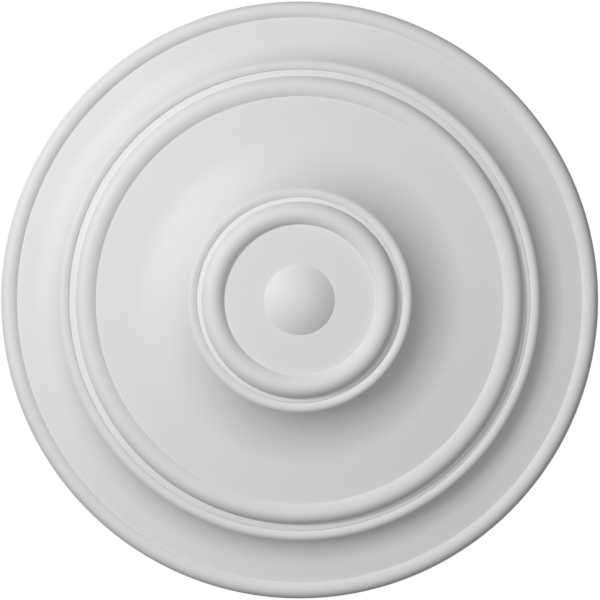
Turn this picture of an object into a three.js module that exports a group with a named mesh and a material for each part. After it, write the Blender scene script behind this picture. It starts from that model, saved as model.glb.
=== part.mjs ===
// Ceiling rose: one round casting in millimetres, +Z up.
// The origin is the centre of the flat back, which lies against the ceiling, so the moulded face looks
// down along -Z. From the middle outwards the face has a domed boss, a flat seat, a collar bead, an inner
// cove, a middle bead, an outer cove and a rim bead. Each of the two inner beads is followed by a narrow
// fillet and a rounded lip, from which the cove sweeps out and back towards the ceiling.

import * as THREE from "three";

// Boss and seat
const bossRadius = 49.8;
const bossHeight = 16;

// Collar bead, around the seat
const collarCrestRadius = 122.4;
const collarInnerWidth = 16;
const collarOuterWidth = 16.5;
const collarInnerHeight = 10;
const collarOuterHeight = 13.5;

// Fillet, lip and cove outside the collar bead; slopes are in degrees against the ceiling
const collarFilletWidth = 6.3;
const collarStep = 0.8;
const collarLipRadius = 9.6;
const collarLipTilt = 42;
const innerCoveTilt = 48.8;
const innerCoveBand = 55.4;
const innerBandTilt = 2.2;

// Middle bead
const middleCrestRadius = 305.8;
const middleInnerWidth = 15.1;
const middleOuterWidth = 14.4;
const middleInnerHeight = 5.4;
const middleOuterHeight = 12.2;

// Fillet, lip and cove outside the middle bead
const middleFilletWidth = 10;
const middleStep = 1.5;
const middleLipRadius = 9.4;
const middleLipTilt = 37;
const outerCoveTilt = 49.6;
const outerCoveBand = 24.9;
const outerBandTilt = 3.4;

// Rim bead and the edge that it stands on
const rimCrestRadius = 417.8;
const rimInnerWidth = 11.2;
const rimOuterWidth = 12.2;
const rimInnerHeight = 5.2;
const rimOuterHeight = 9.8;
const rimEdgeHeight = 7;
const backChamfer = 1.5;

// Slope of both fillets, which fall away outwards
const filletTilt = 8;

// Sides of the whole round, and steps along each stretch of the profile
const sidesAround = 80;
const bossSteps = 6;
const beadInnerSteps = 3;
const beadOuterSteps = 4;
const lipInnerSteps = 2;
const lipOuterSteps = 3;
const coveSteps = 5;

const radians = THREE.MathUtils.degToRad;
const profile = [];

// Adds a point at a radius and a depth below the ceiling
function mark(radius, depth) {
  profile.push(new THREE.Vector2(radius, -depth));
}

// The radius of the arc that falls by a height over a width, starting level
function arcThrough(width, height) {
  return (width * width + height * height) / (2 * height);
}

// Adds an arc that bulges down from its crest, between two tilts; a tilt above 0 falls away outwards
function bulge(crestRadius, crestDepth, arcRadius, fromTilt, toTilt, steps) {
  for (let i = 0; i <= steps; i += 1) {
    const tilt = fromTilt + ((toTilt - fromTilt) * i) / steps;
    mark(crestRadius + arcRadius * Math.sin(tilt), crestDepth - arcRadius * (1 - Math.cos(tilt)));
  }
}

// Adds a bead: an inner arc up to its crest and an outer arc down from it
function bead(crestRadius, crestDepth, inner, outer) {
  const innerArc = arcThrough(inner.width, inner.height);
  const innerTilt = Math.asin(inner.width / innerArc);
  bulge(crestRadius, crestDepth, innerArc, -innerTilt, 0, beadInnerSteps);
  profile.pop();
  const outerArc = arcThrough(outer.width, outer.height);
  const outerTilt = Math.asin(outer.width / outerArc);
  bulge(crestRadius, crestDepth, outerArc, 0, outerTilt, beadOuterSteps);
}

// Sizes of the sweep from a fillet's outer edge to the foot of the next bead: lip, cove and band
function sweep(startRadius, endRadius, lip, cove, band) {
  const crestRadius = startRadius + lip.radius * Math.sin(lip.tilt);
  const bandStart = endRadius - band.width;
  const coveWidth = bandStart - crestRadius - lip.radius * Math.sin(cove.tilt);
  const coveRadius = coveWidth / (Math.sin(cove.tilt) - Math.sin(band.tilt));
  const lipFall = lip.radius * (1 - Math.cos(cove.tilt));
  const coveFall = coveRadius * (Math.cos(band.tilt) - Math.cos(cove.tilt));
  return {
    lip,
    cove,
    band,
    crestRadius,
    bandStart,
    coveRadius,
    lipRise: lip.radius * (1 - Math.cos(lip.tilt)),
    bandStartFall: lipFall + coveFall,
    fall: lipFall + coveFall + band.width * Math.tan(band.tilt),
  };
}

// Adds the lip and the cove of a sweep; its band is the straight run to the next point
function addSweep(shape, crestDepth) {
  const { lip, cove, band, crestRadius, coveRadius } = shape;
  bulge(crestRadius, crestDepth, lip.radius, -lip.tilt, 0, lipInnerSteps);
  profile.pop();
  bulge(crestRadius, crestDepth, lip.radius, 0, cove.tilt, lipOuterSteps);
  profile.pop();
  const hollowRadius = shape.bandStart + coveRadius * Math.sin(band.tilt);
  const hollowDepth = crestDepth - shape.bandStartFall - coveRadius * (1 - Math.cos(band.tilt));
  bulge(hollowRadius, hollowDepth, -coveRadius, cove.tilt, band.tilt, coveSteps);
}

// Widths and heights of the three beads
const collar = {
  inner: { width: collarInnerWidth, height: collarInnerHeight },
  outer: { width: collarOuterWidth, height: collarOuterHeight },
};
const middle = {
  inner: { width: middleInnerWidth, height: middleInnerHeight },
  outer: { width: middleOuterWidth, height: middleOuterHeight },
};
const rim = {
  inner: { width: rimInnerWidth, height: rimInnerHeight },
  outer: { width: rimOuterWidth, height: rimOuterHeight },
};

// Radii where the stretches meet
const outlineRadius = rimCrestRadius + rimOuterWidth;
const collarFilletEnd = collarCrestRadius + collarOuterWidth + collarFilletWidth;
const middleFilletEnd = middleCrestRadius + middleOuterWidth + middleFilletWidth;
const innerSweep = sweep(
  collarFilletEnd,
  middleCrestRadius - middleInnerWidth,
  { radius: collarLipRadius, tilt: radians(collarLipTilt) },
  { tilt: radians(innerCoveTilt) },
  { width: innerCoveBand, tilt: radians(innerBandTilt) },
);
const outerSweep = sweep(
  middleFilletEnd,
  rimCrestRadius - rimInnerWidth,
  { radius: middleLipRadius, tilt: radians(middleLipTilt) },
  { tilt: radians(outerCoveTilt) },
  { width: outerCoveBand, tilt: radians(outerBandTilt) },
);

// Depths below the ceiling, from the rim to the boss
const filletSlope = Math.tan(radians(filletTilt));
const rimCrestDepth = rimEdgeHeight + rimOuterHeight;
const middleLipDepth = rimCrestDepth - rimInnerHeight + outerSweep.fall;
const middleFilletDepth = middleLipDepth - outerSweep.lipRise - middleStep;
const middleCrestDepth = middleFilletDepth + middleFilletWidth * filletSlope + middleOuterHeight;
const collarLipDepth = middleCrestDepth - middleInnerHeight + innerSweep.fall;
const collarFilletDepth = collarLipDepth - innerSweep.lipRise - collarStep;
const collarCrestDepth = collarFilletDepth + collarFilletWidth * filletSlope + collarOuterHeight;
const seatDepth = collarCrestDepth - collarInnerHeight;

// Profile of the moulded face, from the boss outwards, then the edge and the flat back
const bossArc = arcThrough(bossRadius, bossHeight);
bulge(0, seatDepth + bossHeight, bossArc, 0, Math.asin(bossRadius / bossArc), bossSteps);
bead(collarCrestRadius, collarCrestDepth, collar.inner, collar.outer);
mark(collarFilletEnd, collarFilletDepth);
addSweep(innerSweep, collarLipDepth);
bead(middleCrestRadius, middleCrestDepth, middle.inner, middle.outer);
mark(middleFilletEnd, middleFilletDepth);
addSweep(outerSweep, middleLipDepth);
bead(rimCrestRadius, rimCrestDepth, rim.inner, rim.outer);
mark(outlineRadius, backChamfer);
mark(outlineRadius - backChamfer, 0);
mark(0, 0);

// The casting
const geometry = new THREE.LatheGeometry(profile, sidesAround);
geometry.rotateX(Math.PI / 2);
const primedWhite = new THREE.MeshStandardMaterial({ color: 0xe9e9e9, roughness: 0.6, metalness: 0 });
const ceilingRose = new THREE.Mesh(geometry, primedWhite);
ceilingRose.name = "ceiling_rose";

const rose = new THREE.Group();
rose.add(ceilingRose);

export default rose;
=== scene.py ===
import math

import bpy
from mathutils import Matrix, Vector


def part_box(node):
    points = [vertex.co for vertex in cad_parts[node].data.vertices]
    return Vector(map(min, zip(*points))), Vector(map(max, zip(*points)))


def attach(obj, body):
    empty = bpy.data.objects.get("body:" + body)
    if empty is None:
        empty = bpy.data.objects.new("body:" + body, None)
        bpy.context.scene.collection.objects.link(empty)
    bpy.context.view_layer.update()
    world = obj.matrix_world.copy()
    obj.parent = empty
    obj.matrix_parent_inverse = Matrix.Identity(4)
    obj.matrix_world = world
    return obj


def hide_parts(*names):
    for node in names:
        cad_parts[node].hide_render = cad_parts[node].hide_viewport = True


bl_info = {
    "name": "Ceiling Rose",
    "version": (1, 0, 0),
    "blender": (4, 5, 0),
    "location": "View3D > Sidebar > Ceiling Rose",
    "description": "Models a round ceiling rose with beads and coves, finishes it and lights it in a studio",
    "category": "Add Mesh",
}

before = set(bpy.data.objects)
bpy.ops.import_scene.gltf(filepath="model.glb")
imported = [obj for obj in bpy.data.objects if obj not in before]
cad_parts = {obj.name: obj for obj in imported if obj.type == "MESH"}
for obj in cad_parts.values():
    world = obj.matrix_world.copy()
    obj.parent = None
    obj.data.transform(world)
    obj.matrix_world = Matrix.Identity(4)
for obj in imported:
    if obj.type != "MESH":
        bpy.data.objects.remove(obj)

MM = 0.001
CASTING_NODE = "ceiling_rose"
OUTLINE_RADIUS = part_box(CASTING_NODE)[1].x


def length(name, description, default):
    """A size in metres."""
    return bpy.props.FloatProperty(
        name=name, description=description, default=default, min=0, unit="LENGTH", precision=5)


def slope(name, description, degrees):
    """An angle in degrees, held in radians."""
    return bpy.props.FloatProperty(
        name=name, description=description, default=math.radians(degrees), min=0, unit="ROTATION")


def share(name, description, default):
    """A number from 0 to 1."""
    return bpy.props.FloatProperty(
        name=name, description=description, default=default, min=0, max=1, subtype="FACTOR")


def shade(name, description, default):
    """A colour."""
    return bpy.props.FloatVectorProperty(
        name=name, description=description, default=default, size=3, min=0, max=1, subtype="COLOR")


class RoseSizes(bpy.types.PropertyGroup):
    """Sizes of the moulded face, from the boss outwards: the construction's, with crisper lips."""

    boss_radius: length("Boss radius", "From the middle to the edge of the domed boss", 49.8 * MM)
    boss_height: length("Boss height", "How far the boss stands out from the seat", 16.0 * MM)

    collar_crest_radius: length(
        "Collar crest radius", "From the middle to the collar bead's crest", 122.4 * MM)
    collar_inner_width: length("Collar inner width", "From the seat to the collar bead's crest", 16.0 * MM)
    collar_outer_width: length(
        "Collar outer width", "From the collar bead's crest to its fillet", 16.5 * MM)
    collar_inner_height: length("Collar inner height", "Collar bead above the seat", 10.0 * MM)
    collar_outer_height: length("Collar outer height", "Collar bead above its fillet", 13.5 * MM)
    collar_fillet_width: length("Collar fillet width", "Flat ring outside the collar bead", 6.3 * MM)
    collar_step: length("Collar step", "Small riser from the fillet up to the lip", 0.1 * MM)
    collar_rise_radius: length(
        "Collar rise radius", "Round of the lip from the fillet to its crest", 11.0 * MM)
    collar_lip_radius: length("Collar lip radius", "Round of the lip from its crest to the cove", 7.6 * MM)
    inner_cove_band: length(
        "Inner cove band", "Straight run from the inner cove to the middle bead", 55.4 * MM)

    middle_crest_radius: length(
        "Middle crest radius", "From the middle to the middle bead's crest", 305.8 * MM)
    middle_inner_width: length("Middle inner width", "From the cove to the middle bead's crest", 15.1 * MM)
    middle_outer_width: length(
        "Middle outer width", "From the middle bead's crest to its fillet", 14.4 * MM)
    middle_inner_height: length("Middle inner height", "Middle bead above the inner cove", 5.4 * MM)
    middle_outer_height: length("Middle outer height", "Middle bead above its fillet", 12.2 * MM)
    middle_fillet_width: length("Middle fillet width", "Flat ring outside the middle bead", 10.0 * MM)
    middle_step: length("Middle step", "Small riser from the fillet up to the lip", 0.8 * MM)
    middle_rise_radius: length(
        "Middle rise radius", "Round of the lip from the fillet to its crest", 11.0 * MM)
    middle_lip_radius: length("Middle lip radius", "Round of the lip from its crest to the cove", 8.4 * MM)
    outer_cove_band: length(
        "Outer cove band", "Straight run from the outer cove to the rim bead", 24.9 * MM)

    rim_inner_width: length("Rim inner width", "From the cove to the rim bead's crest", 11.2 * MM)
    rim_outer_width: length("Rim outer width", "From the rim bead's crest to the outline", 12.2 * MM)
    rim_inner_height: length("Rim inner height", "Rim bead above the outer cove", 5.2 * MM)
    rim_outer_height: length("Rim outer height", "Rim bead above the edge's flat side", 9.8 * MM)
    rim_edge_height: length("Rim edge height", "Flat side of the edge, from the ceiling", 7.0 * MM)
    back_chamfer: length("Back chamfer", "Chamfer around the flat back", 1.5 * MM)

    collar_lip_tilt: slope("Collar lip tilt", "Slope of the collar's lip at its inner edge", 44)
    collar_cove_tilt: slope(
        "Collar cove tilt", "Steepest slope between the collar's lip and its cove", 49.3)
    inner_band_tilt: slope("Inner band tilt", "Slope of the inner cove's straight run", 2.2)
    middle_lip_tilt: slope("Middle lip tilt", "Slope of the middle lip at its inner edge", 40)
    middle_cove_tilt: slope("Middle cove tilt", "Steepest slope between the middle lip and its cove", 50.6)
    outer_band_tilt: slope("Outer band tilt", "Slope of the outer cove's straight run", 3.4)
    fillet_tilt: slope("Fillet tilt", "Slope of both fillets, which fall away outwards", 8)

    quirk_width: length("Quirk width", "Fine groove at the foot of each lip, across", 0.8 * MM)
    quirk_depth: length("Quirk depth", "Fine groove at the foot of each lip, into the casting", 1.2 * MM)
    crease_softness: length("Crease softness", "How far paint and foam round off each crease", 0.3 * MM)
    support_gap: length(
        "Support gap", "From a flat's edge to the ring of points that holds it flat", 1.2 * MM)
    arc_step: length("Arc step", "Spacing of the points along the small rounds", 1.3 * MM)
    cove_step: length("Cove step", "Spacing of the points along the boss and the coves", 2.6 * MM)
    sides: bpy.props.IntProperty(
        name="Sides", description="Number of steps around the casting", default=320, min=24, max=720)


class RoseFinish(bpy.types.PropertyGroup):
    """Colours and gloss of the factory primer and of the bare back, and a small painted highlight on the
    seat.
    """

    primer_colour: shade("Primer colour", "Colour of the primed face", (0.84, 0.84, 0.84))
    primer_tone: share("Primer tone", "How much the primer's tone wanders", 0.02)
    primer_roughness: share("Primer roughness", "Roughness of the primer", 0.64)
    primer_specular: share("Primer specular", "Strength of the primer's sheen", 0.74)
    back_colour: shade("Back colour", "Colour of the bare foam back", (0.70, 0.685, 0.655))
    back_roughness: share("Back roughness", "Roughness of the bare foam back", 0.85)
    overspray_width: length("Overspray width", "How far the primer reaches round onto the back", 30 * MM)
    spray_relief: length("Spray relief", "Height of the primer's spray texture", 0.012 * MM)
    sanding_relief: length("Sanding relief", "Height of the sanding streaks on the back", 0.25 * MM)
    pit_depth: length("Pit depth", "Depth of the open cells in the back", 0.25 * MM)
    # Painted highlight: a small spot on the seat where the primer's colour turns paler, in place of the lit
    # glint of a tiny nib
    painted_glint_place: bpy.props.FloatVectorProperty(
        name="Speck place", description="Pale speck in the primer on the seat",
        default=(72 * MM, 71 * MM, -83.4 * MM), size=3, subtype="TRANSLATION", precision=5)
    painted_glint_width: length("Speck width", "The pale speck, across", 3.6 * MM)
    painted_glint_colour: shade("Speck colour", "Colour of the pale speck", (0.97, 0.97, 0.97))


class StudioSettings(bpy.types.PropertyGroup):
    """Camera, lights and floor."""

    lens: bpy.props.FloatProperty(
        name="Lens", description="Focal length of the camera", default=135, unit="CAMERA")
    key_power: bpy.props.FloatProperty(
        name="Key power", description="Power of the soft key light", default=45.4, min=0, unit="POWER")
    key_size: length("Key size", "Side of the soft key light", 0.3)
    key_distance: length("Key distance", "From the rose to the key light", 3.01)
    key_bearing: slope("Key bearing", "Way to the key light, turned from image right to image down", 212.6)
    key_tilt: slope("Key tilt", "Key light's tilt away from straight below the rose", 45.4)
    fill_power: bpy.props.FloatProperty(
        name="Fill power", description="Power of the wide fill by the camera", default=35.4, min=0,
        unit="POWER")
    fill_size: length("Fill size", "Side of the wide fill", 2.4)
    fill_distance: length("Fill distance", "From the rose to the wide fill", 3.4)
    fill_tilt: slope("Fill tilt", "Fill's lean from straight below the rose, the key's way", 4)
    top_power: bpy.props.FloatProperty(
        name="Top power", description="Power of the light over the back", default=30, min=0, unit="POWER")
    top_size: length("Top size", "Side of the light over the back", 1.5)
    room_light: share("Room light", "Strength of the light from below, where the camera is", 0.13)
    wall_light: share("Wall light", "Strength of the light from the walls, level with the rose", 0.02)
    sky_light: share("Sky light", "Strength of the light from above, on the back and the floor", 0.95)
    floor_colour: shade("Floor colour", "Colour of the floor and the backdrop", (0.8, 0.8, 0.8))
    floor_glow: share("Floor glow", "Strength of the light that comes through the backdrop", 0.28)
    floor_drop: length("Floor drop", "From the ceiling down to the floor", 3.6)


# Outline of the casting

class Outline:
    """The casting's outline, from the boss outwards: points at a radius and a depth below the ceiling."""

    def __init__(self, sizes):
        self.sizes = sizes
        self.points = []
        self.creases = []

    def mark(self, radius, depth):
        self.points.append(Vector((radius, 0, -depth)))

    def crease(self):
        self.creases.append(self.points[-1])

    def arc(self, crest_radius, crest_depth, arc_radius, from_tilt, to_tilt, step):
        """An arc that bulges down from its crest, or hollows where its radius is negative.

        A tilt above 0 falls away outwards.
        """
        steps = max(2, round(abs(arc_radius * (to_tilt - from_tilt)) / step))
        for i in range(steps + 1):
            tilt = from_tilt + (to_tilt - from_tilt) * i / steps
            radius = crest_radius + arc_radius * math.sin(tilt)
            depth = crest_depth - arc_radius * (1 - math.cos(tilt))
            self.mark(radius, depth)

    def run(self, radius, depth, stops=()):
        """A straight run from the last point, with rings of points close to both ends."""
        start = self.points[-1].copy()
        end = Vector((radius, 0, -depth))
        gap = self.sizes.support_gap
        whole = (end - start).length
        shares = sorted({gap / whole, *stops, 1 - gap / whole}) if whole > 3 * gap else []
        for part in shares:
            self.points.append(start.lerp(end, part))
        self.points.append(end)

    def fillet(self, radius, depth):
        """A fillet from the last point out to a lip, with a fine quirk cut along the lip's foot."""
        width = self.sizes.quirk_width
        quirk_bottom_radius = radius - width / 4
        self.run(radius - width, depth + width * math.tan(self.sizes.fillet_tilt))
        self.crease()
        self.mark(quirk_bottom_radius, depth - self.sizes.quirk_depth)

    def bead(self, crest_radius, crest_depth, inner, outer):
        """A bead from the last point, with a crease at both its feet.

        It is an inner arc up to its crest and an outer arc down, each of a width and a height.
        """
        step = self.sizes.arc_step
        inner_arc, inner_tilt = arc_through(*inner)
        outer_arc, outer_tilt = arc_through(*outer)
        self.crease()
        self.points.pop()
        self.arc(crest_radius, crest_depth, inner_arc, -inner_tilt, 0, step)
        self.points.pop()
        self.arc(crest_radius, crest_depth, outer_arc, 0, outer_tilt, step)
        self.crease()

    def sweep(self, shape, crest_depth):
        """A lip and the cove behind it; the straight band after them is a run to the next bead."""
        step = self.sizes.arc_step
        self.arc(shape.crest_radius, crest_depth, shape.rise_radius, -shape.lip_tilt, 0, step)
        self.points.pop()
        self.arc(shape.crest_radius, crest_depth, shape.lip_radius, 0, shape.steepest, step)
        self.points.pop()
        band_depth = crest_depth - shape.fall + shape.band_fall
        hollow_radius = shape.end_radius - shape.band_width + shape.cove_radius * math.sin(shape.band_tilt)
        hollow_depth = band_depth - shape.cove_radius * (1 - math.cos(shape.band_tilt))
        self.arc(
            hollow_radius, hollow_depth, -shape.cove_radius, shape.steepest, shape.band_tilt,
            self.sizes.cove_step)


def arc_through(width, height):
    """Radius and turn of the arc that starts level and falls by a height over a width."""
    radius = (width ** 2 + height ** 2) / (2 * height)
    return radius, math.asin(width / radius)


class Sweep:
    """Sizes of a lip, its cove and its band, between a fillet's outer edge and the next bead's foot.

    The lip has a radius up to its crest, a radius down from it and a tilt at its inner edge. The band has a
    width and a tilt.
    """

    def __init__(self, start_radius, end_radius, lip, steepest, band):
        rise_radius, lip_radius, lip_tilt = lip
        band_width, band_tilt = band
        self.end_radius = end_radius
        self.rise_radius = rise_radius
        self.lip_radius = lip_radius
        self.lip_tilt = lip_tilt
        self.steepest = steepest
        self.band_width = band_width
        self.band_tilt = band_tilt
        self.crest_radius = start_radius + rise_radius * math.sin(lip_tilt)
        cove_width = end_radius - band_width - self.crest_radius - lip_radius * math.sin(steepest)
        self.cove_radius = cove_width / (math.sin(steepest) - math.sin(band_tilt))
        self.lip_rise = rise_radius * (1 - math.cos(lip_tilt))
        lip_fall = lip_radius * (1 - math.cos(steepest))
        cove_fall = self.cove_radius * (math.cos(band_tilt) - math.cos(steepest))
        self.band_fall = band_width * math.tan(band_tilt)
        self.fall = lip_fall + cove_fall + self.band_fall


def casting_outline(s):
    """The outline of the whole casting, from the boss's tip round to the middle of the flat back."""
    rim_crest_radius = OUTLINE_RADIUS - s.rim_outer_width
    collar_fillet_end = s.collar_crest_radius + s.collar_outer_width + s.collar_fillet_width
    middle_fillet_end = s.middle_crest_radius + s.middle_outer_width + s.middle_fillet_width
    inner = Sweep(
        collar_fillet_end, s.middle_crest_radius - s.middle_inner_width,
        (s.collar_rise_radius, s.collar_lip_radius, s.collar_lip_tilt),
        s.collar_cove_tilt, (s.inner_cove_band, s.inner_band_tilt))
    outer = Sweep(
        middle_fillet_end, rim_crest_radius - s.rim_inner_width,
        (s.middle_rise_radius, s.middle_lip_radius, s.middle_lip_tilt),
        s.middle_cove_tilt, (s.outer_cove_band, s.outer_band_tilt))

    fillet_slope = math.tan(s.fillet_tilt)
    rim_crest_depth = s.rim_edge_height + s.rim_outer_height
    middle_lip_depth = rim_crest_depth - s.rim_inner_height + outer.fall
    middle_fillet_depth = middle_lip_depth - outer.lip_rise - s.middle_step
    middle_crest_depth = middle_fillet_depth + s.middle_fillet_width * fillet_slope + s.middle_outer_height
    collar_lip_depth = middle_crest_depth - s.middle_inner_height + inner.fall
    collar_fillet_depth = collar_lip_depth - inner.lip_rise - s.collar_step
    collar_crest_depth = collar_fillet_depth + s.collar_fillet_width * fillet_slope + s.collar_outer_height
    seat_depth = collar_crest_depth - s.collar_inner_height

    line = Outline(s)
    boss_arc, boss_tilt = arc_through(s.boss_radius, s.boss_height)
    line.arc(0, seat_depth + s.boss_height, boss_arc, 0, boss_tilt, s.cove_step)
    line.crease()
    line.run(s.collar_crest_radius - s.collar_inner_width, seat_depth)
    line.bead(
        s.collar_crest_radius, collar_crest_depth,
        (s.collar_inner_width, s.collar_inner_height), (s.collar_outer_width, s.collar_outer_height))
    line.fillet(collar_fillet_end, collar_fillet_depth)
    line.sweep(inner, collar_lip_depth)
    line.run(s.middle_crest_radius - s.middle_inner_width, middle_crest_depth - s.middle_inner_height)
    line.bead(
        s.middle_crest_radius, middle_crest_depth,
        (s.middle_inner_width, s.middle_inner_height), (s.middle_outer_width, s.middle_outer_height))
    line.fillet(middle_fillet_end, middle_fillet_depth)
    line.sweep(outer, middle_lip_depth)
    line.run(rim_crest_radius - s.rim_inner_width, rim_crest_depth - s.rim_inner_height)
    line.bead(
        rim_crest_radius, rim_crest_depth,
        (s.rim_inner_width, s.rim_inner_height), (s.rim_outer_width, s.rim_outer_height))
    line.run(OUTLINE_RADIUS, s.back_chamfer)
    line.crease()
    line.run(OUTLINE_RADIUS - s.back_chamfer, 0)
    line.crease()
    back_rings = (0.25, 0.5, 0.75)
    line.run(0, 0, stops=back_rings)
    return line


# Modelling

def deselect_all():
    if bpy.context.object and bpy.context.object.mode != "OBJECT":
        bpy.ops.object.mode_set(mode="OBJECT")
    bpy.ops.object.select_all(action="DESELECT")


def draw_line(points):
    """Starts a piece and draws a line of edges through the points, by extruding its end to each in turn."""
    bpy.ops.mesh.primitive_plane_add(size=MM, location=points[0])
    bpy.ops.object.transform_apply(location=True, rotation=False, scale=False)
    bpy.ops.object.mode_set(mode="EDIT")
    bpy.ops.mesh.select_mode(type="VERT")
    bpy.ops.mesh.merge(type="CENTER")
    for start, end in zip(points, points[1:]):
        bpy.ops.mesh.extrude_region_move(TRANSFORM_OT_translate={"value": end - start})
    bpy.ops.object.mode_set(mode="OBJECT")
    return bpy.context.object


def soften_creases(obj, creases, softness):
    """Rounds the line at each crease with a small bevel."""
    near = 0.02 * MM
    for vertex in obj.data.vertices:
        vertex.select = any((vertex.co - place).length < near for place in creases)
    bpy.ops.object.mode_set(mode="EDIT")
    bpy.ops.mesh.bevel(
        offset_type="OFFSET", offset=softness, segments=4, affect="VERTICES", clamp_overlap=True)
    bpy.ops.object.mode_set(mode="OBJECT")


def turn_round(steps, merge_gap):
    """Spins the active line round the middle and joins the points that meet."""
    bpy.ops.object.mode_set(mode="EDIT")
    bpy.ops.mesh.select_all(action="SELECT")
    bpy.ops.mesh.spin(steps=steps, angle=math.tau, center=(0, 0, 0), axis=(0, 0, 1))
    bpy.ops.mesh.select_all(action="SELECT")
    bpy.ops.mesh.remove_doubles(threshold=merge_gap)
    bpy.ops.object.mode_set(mode="OBJECT")


def face_outwards():
    """Turns the faces of the active body to point out."""
    bpy.ops.object.mode_set(mode="EDIT")
    bpy.ops.mesh.select_all(action="SELECT")
    bpy.ops.mesh.normals_make_consistent(inside=False)
    bpy.ops.object.mode_set(mode="OBJECT")


# Materials

def add_node(tree, kind, inputs=None, **settings):
    """Adds a node, with values or other nodes' outputs on its inputs."""
    made = tree.nodes.new(kind)
    for key, value in settings.items():
        setattr(made, key, value)
    for key, value in (inputs or {}).items():
        if isinstance(value, bpy.types.NodeSocket):
            tree.links.new(value, made.inputs[key])
        else:
            made.inputs[key].default_value = value
    return made


def blank_material(name):
    material = bpy.data.materials.new(name)
    material.use_nodes = True
    tree = material.node_tree
    tree.nodes.clear()
    shader = add_node(tree, "ShaderNodeBsdfPrincipled")
    add_node(tree, "ShaderNodeOutputMaterial", {"Surface": shader.outputs["BSDF"]})
    return material, tree, shader


def ramp(tree, value, low, high, to_low=0.0, to_high=1.0):
    """Maps a value from one range to another, held at both ends."""
    ends = {"From Min": low, "From Max": high, "To Min": to_low, "To Max": to_high}
    return add_node(tree, "ShaderNodeMapRange", {"Value": value, **ends}).outputs["Result"]


def calculate(tree, operation, first, second):
    return add_node(tree, "ShaderNodeMath", {0: first, 1: second}, operation=operation).outputs["Value"]


def mix_colour(tree, factor, first, second):
    made = add_node(tree, "ShaderNodeMix", {"Factor": factor}, data_type="RGBA")
    for name, value in (("A_Color", first), ("B_Color", second)):
        socket = next(i for i in made.inputs if i.identifier == name)
        if isinstance(value, bpy.types.NodeSocket):
            tree.links.new(value, socket)
        else:
            socket.default_value = value
    return next(o for o in made.outputs if o.identifier == "Result_Color")


def toned(colour, factor):
    """A colour made lighter or darker, with its alpha."""
    return (*(min(1, part * factor) for part in colour), 1)


def primed_white(finish):
    """Satin white primer over a smooth casting, with bare sanded foam on the back."""
    material, tree, shader = blank_material("primed_white")
    place = add_node(tree, "ShaderNodeTexCoord").outputs["Object"]
    parts = add_node(tree, "ShaderNodeSeparateXYZ", {"Vector": place})
    distance = add_node(tree, "ShaderNodeVectorMath", {0: place}, operation="LENGTH").outputs["Value"]

    def noise(scale, detail, roughness=0.5, vector=place):
        return add_node(
            tree, "ShaderNodeTexNoise",
            {"Vector": vector, "Scale": scale, "Detail": detail, "Roughness": roughness}).outputs["Fac"]

    # Where the back is bare: up to a ragged line of overspray
    ragged = 12 * MM
    cloud = noise(16, 5, 0.6)
    sprayed = calculate(tree, "ADD", distance, ramp(tree, cloud, 0.3, 0.7, -ragged, ragged))
    spray_start = OUTLINE_RADIUS - finish.overspray_width
    inside = ramp(tree, sprayed, spray_start, spray_start + 0.7 * finish.overspray_width, 1, 0)
    on_back = ramp(tree, parts.outputs["Z"], -0.4 * MM, -0.1 * MM)
    bare = calculate(tree, "MULTIPLY", inside, on_back)

    # Colour: slow drifts of tone in the primer, a small painted highlight on the seat in place of the glint
    # of a tiny nib, faint mottling on the foam
    drift = ramp(tree, noise(5, 3), 0.3, 0.7)
    tone = finish.primer_tone
    primer = mix_colour(
        tree, drift, toned(finish.primer_colour, 1 - tone), toned(finish.primer_colour, 1 + tone))
    # Painted highlight: the primer turns paler in a small spot, in place of the glint of a tiny nib
    away = add_node(tree, "ShaderNodeVectorMath", {0: place, 1: finish.painted_glint_place}, operation="DISTANCE")
    half_width = finish.painted_glint_width / 2
    glint = ramp(tree, away.outputs["Value"], half_width / 2, half_width, 1, 0)
    primer = mix_colour(tree, glint, primer, toned(finish.painted_glint_colour, 1))
    mottle = ramp(tree, noise(60, 4, 0.6), 0.3, 0.7)
    foam = mix_colour(tree, mottle, toned(finish.back_colour, 0.95), toned(finish.back_colour, 1.04))
    tree.links.new(mix_colour(tree, bare, primer, foam), shader.inputs["Base Color"])

    # Gloss
    wander = 0.03
    glossier = finish.primer_roughness - wander
    duller = finish.primer_roughness + wander
    sheen = ramp(tree, noise(9, 4), 0.3, 0.7, glossier, duller)
    rougher = calculate(tree, "MULTIPLY", bare, finish.back_roughness - finish.primer_roughness)
    tree.links.new(calculate(tree, "ADD", sheen, rougher), shader.inputs["Roughness"])
    shader.inputs["Specular IOR Level"].default_value = finish.primer_specular

    # Relief: a fine spray texture on the primer, sanding streaks and open cells on the foam
    peel = calculate(tree, "MULTIPLY", noise(420, 2), finish.spray_relief)
    along = add_node(
        tree, "ShaderNodeMapping", {"Vector": place, "Scale": (7, 260, 7), "Rotation": (0, 0, 0.35)})
    streaks = calculate(
        tree, "MULTIPLY", noise(1, 5, 0.65, along.outputs["Vector"]), finish.sanding_relief)
    cells = add_node(tree, "ShaderNodeTexVoronoi", {"Vector": place, "Scale": 170})
    pits = ramp(tree, cells.outputs["Distance"], 0.06, 0.2, -finish.pit_depth, 0)
    foam_relief = calculate(tree, "MULTIPLY", calculate(tree, "ADD", streaks, pits), bare)
    height = calculate(tree, "ADD", peel, foam_relief)
    bump = add_node(tree, "ShaderNodeBump", {"Strength": 1.0, "Distance": 1.0, "Height": height})
    tree.links.new(bump.outputs["Normal"], shader.inputs["Normal"])
    return material


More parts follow.
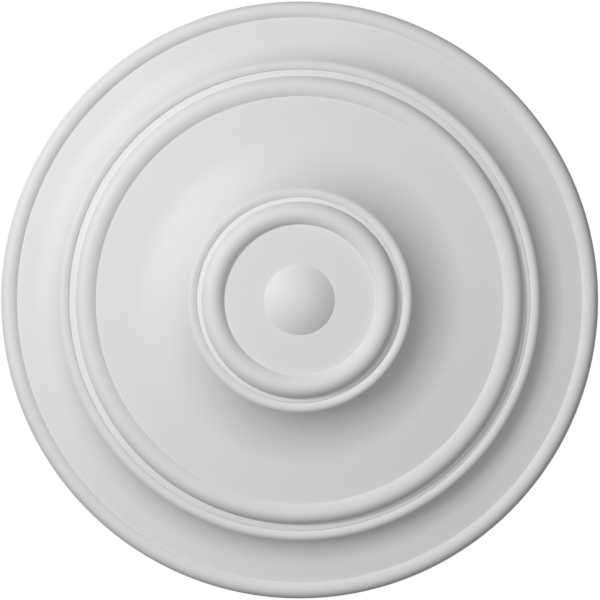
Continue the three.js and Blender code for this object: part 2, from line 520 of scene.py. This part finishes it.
def plain_floor(settings):
    """Matt pale floor and backdrop, faintly lit from behind."""
    material, tree, shader = blank_material("studio_floor")
    place = add_node(tree, "ShaderNodeTexCoord").outputs["Object"]
    cloud = add_node(tree, "ShaderNodeTexNoise", {"Vector": place, "Scale": 0.6, "Detail": 4.0})
    tint = mix_colour(
        tree, cloud.outputs["Fac"], toned(settings.floor_colour, 0.98), toned(settings.floor_colour, 1.02))
    tree.links.new(tint, shader.inputs["Base Color"])
    shader.inputs["Emission Color"].default_value = (1, 1, 1, 1)
    shader.inputs["Emission Strength"].default_value = settings.floor_glow
    shader.inputs["Roughness"].default_value = 0.8
    shader.inputs["Specular IOR Level"].default_value = 0.2
    return material


# Studio

def way_below(bearing, tilt):
    """The way from the rose to a light, by its bearing and its tilt away from straight below."""
    return Vector((math.cos(bearing) * math.sin(tilt), math.sin(bearing) * math.sin(tilt), -math.cos(tilt)))


def aim(place):
    """The turn that points a light from its place at the rose."""
    return (-place).to_track_quat("-Z", "Y").to_euler()


def add_softbox(name, place, size, power):
    bpy.ops.object.light_add(type="AREA", location=place, rotation=aim(place))
    light = bpy.context.object
    light.name = name
    light.data.shape = "SQUARE"
    light.data.size = size
    light.data.energy = power
    light.visible_camera = False


def add_camera(settings):
    """Looks straight up at the face, framed as in the photograph."""
    picture_px = 600
    outline_px = 298.8
    centre_px = (299.15, 299.45)
    middle_px = (picture_px - 1) / 2
    rim_depth = 10 * MM
    sensor = 36 * MM
    width_at_rim = OUTLINE_RADIUS * picture_px / outline_px
    distance = width_at_rim * settings.lens * MM / sensor
    bpy.ops.object.camera_add(location=(0, 0, -rim_depth - distance), rotation=(math.pi, 0, 0))
    camera = bpy.context.object
    camera.name = "camera"
    camera.data.sensor_width = sensor / MM
    camera.data.lens = settings.lens
    camera.data.shift_x = (middle_px - centre_px[0]) / picture_px
    camera.data.shift_y = (centre_px[1] - middle_px) / picture_px
    bpy.context.scene.camera = camera


def add_backdrop(settings):
    """A round pale floor that curves up into a low wall all round, far behind the rose."""
    floor_radius = 13.0
    corner = 5.0
    wall_top = 4.0
    corner_steps = 16
    around_steps = 96
    bottom = -settings.floor_drop
    points = [Vector((0, 0, bottom)), Vector((floor_radius / 2, 0, bottom))]
    for i in range(corner_steps + 1):
        turn = math.pi / 2 * i / corner_steps
        points.append(Vector((
            floor_radius + corner * math.sin(turn), 0, bottom + corner * (1 - math.cos(turn)))))
    points.append(Vector((floor_radius + corner, 0, wall_top)))
    floor = draw_line(points)
    turn_round(around_steps, MM)
    bpy.ops.object.shade_smooth()
    floor.name = "studio_floor"
    floor.data.materials.append(plain_floor(settings))
    floor.visible_diffuse = False
    floor.visible_glossy = False


def light_room(settings):
    """Light from below and above, weaker from the walls, and plain white behind the rose in the picture."""
    world = bpy.data.worlds.new("studio_room")
    bpy.context.scene.world = world
    world.use_nodes = True
    tree = world.node_tree
    tree.nodes.clear()
    way = add_node(tree, "ShaderNodeTexCoord").outputs["Generated"]
    up = add_node(tree, "ShaderNodeSeparateXYZ", {"Vector": way}).outputs["Z"]
    # Heights run from -1, straight below, to 1, straight above
    below = ramp(tree, up, -0.7, 0.0, settings.room_light, settings.wall_light)
    above = ramp(tree, up, 0.3, 0.7, 0, settings.sky_light)
    strength = calculate(tree, "ADD", below, above)
    light = add_node(tree, "ShaderNodeBackground", {"Strength": strength})
    light.inputs["Color"].default_value = (1, 1, 1, 1)
    seen_at_walls = 0.6
    white = ramp(tree, up, 0.0, 0.7, seen_at_walls, 1.0)
    seen = add_node(tree, "ShaderNodeBackground", {"Strength": white})
    seen.inputs["Color"].default_value = (1, 1, 1, 1)
    by_camera = add_node(tree, "ShaderNodeLightPath").outputs["Is Camera Ray"]
    mixed = add_node(
        tree, "ShaderNodeMixShader",
        {0: by_camera, 1: light.outputs["Background"], 2: seen.outputs["Background"]})
    add_node(tree, "ShaderNodeOutputWorld", {"Surface": mixed.outputs["Shader"]})


# Operators

class MESH_OT_ceiling_rose_casting(bpy.types.Operator):
    """Model the casting from its outline and give it its finish"""

    bl_idname = "mesh.ceiling_rose_casting"
    bl_label = "Casting"
    bl_options = {"REGISTER", "UNDO"}

    def execute(self, context):
        sizes = context.scene.rose_sizes
        deselect_all()
        line = casting_outline(sizes)
        casting = draw_line(line.points)
        casting.name = "rose_casting"
        soften_creases(casting, line.creases, sizes.crease_softness)
        turn_round(sizes.sides, 0.01 * MM)
        face_outwards()
        bpy.ops.object.shade_smooth_by_angle(angle=math.radians(30))
        casting.data.materials.append(primed_white(context.scene.rose_finish))
        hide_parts(CASTING_NODE)
        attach(casting, "root")
        return {"FINISHED"}


class SCENE_OT_ceiling_rose_studio(bpy.types.Operator):
    """Add the floor, the lights and the camera"""

    bl_idname = "scene.ceiling_rose_studio"
    bl_label = "Studio"
    bl_options = {"REGISTER", "UNDO"}

    def execute(self, context):
        settings = context.scene.rose_studio
        deselect_all()
        add_backdrop(settings)
        key_place = way_below(settings.key_bearing, settings.key_tilt) * settings.key_distance
        fill_place = way_below(settings.key_bearing, settings.fill_tilt) * settings.fill_distance
        add_softbox("key_light", key_place, settings.key_size, settings.key_power)
        add_softbox("fill_light", fill_place, settings.fill_size, settings.fill_power)
        top_place = Vector((-1.6, -1.2, 1.9))
        add_softbox("top_light", top_place, settings.top_size, settings.top_power)
        light_room(settings)
        add_camera(settings)
        context.scene.view_settings.view_transform = "Standard"
        return {"FINISHED"}


class VIEW3D_PT_ceiling_rose(bpy.types.Panel):
    """Sizes, finish and studio of the ceiling rose"""

    bl_label = "Ceiling Rose"
    bl_idname = "VIEW3D_PT_ceiling_rose"
    bl_space_type = "VIEW_3D"
    bl_region_type = "UI"
    bl_category = "Ceiling Rose"

    def draw(self, context):
        scene = context.scene
        groups = (
            (MESH_OT_ceiling_rose_casting, (scene.rose_sizes, scene.rose_finish)),
            (SCENE_OT_ceiling_rose_studio, (scene.rose_studio,)),
        )
        for operator, settings in groups:
            box = self.layout.box()
            box.operator(operator.bl_idname)
            for group in settings:
                for key in group.__annotations__:
                    box.prop(group, key)


CLASSES = (
    RoseSizes, RoseFinish, StudioSettings, MESH_OT_ceiling_rose_casting, SCENE_OT_ceiling_rose_studio,
    VIEW3D_PT_ceiling_rose,
)


def register():
    for made in CLASSES:
        bpy.utils.register_class(made)
    bpy.types.Scene.rose_sizes = bpy.props.PointerProperty(type=RoseSizes)
    bpy.types.Scene.rose_finish = bpy.props.PointerProperty(type=RoseFinish)
    bpy.types.Scene.rose_studio = bpy.props.PointerProperty(type=StudioSettings)


def unregister():
    del bpy.types.Scene.rose_studio
    del bpy.types.Scene.rose_finish
    del bpy.types.Scene.rose_sizes
    for made in reversed(CLASSES):
        bpy.utils.unregister_class(made)


def main():
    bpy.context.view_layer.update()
    register()
    bpy.ops.mesh.ceiling_rose_casting()
    bpy.ops.scene.ceiling_rose_studio()


if __name__ == "__main__":
    main()
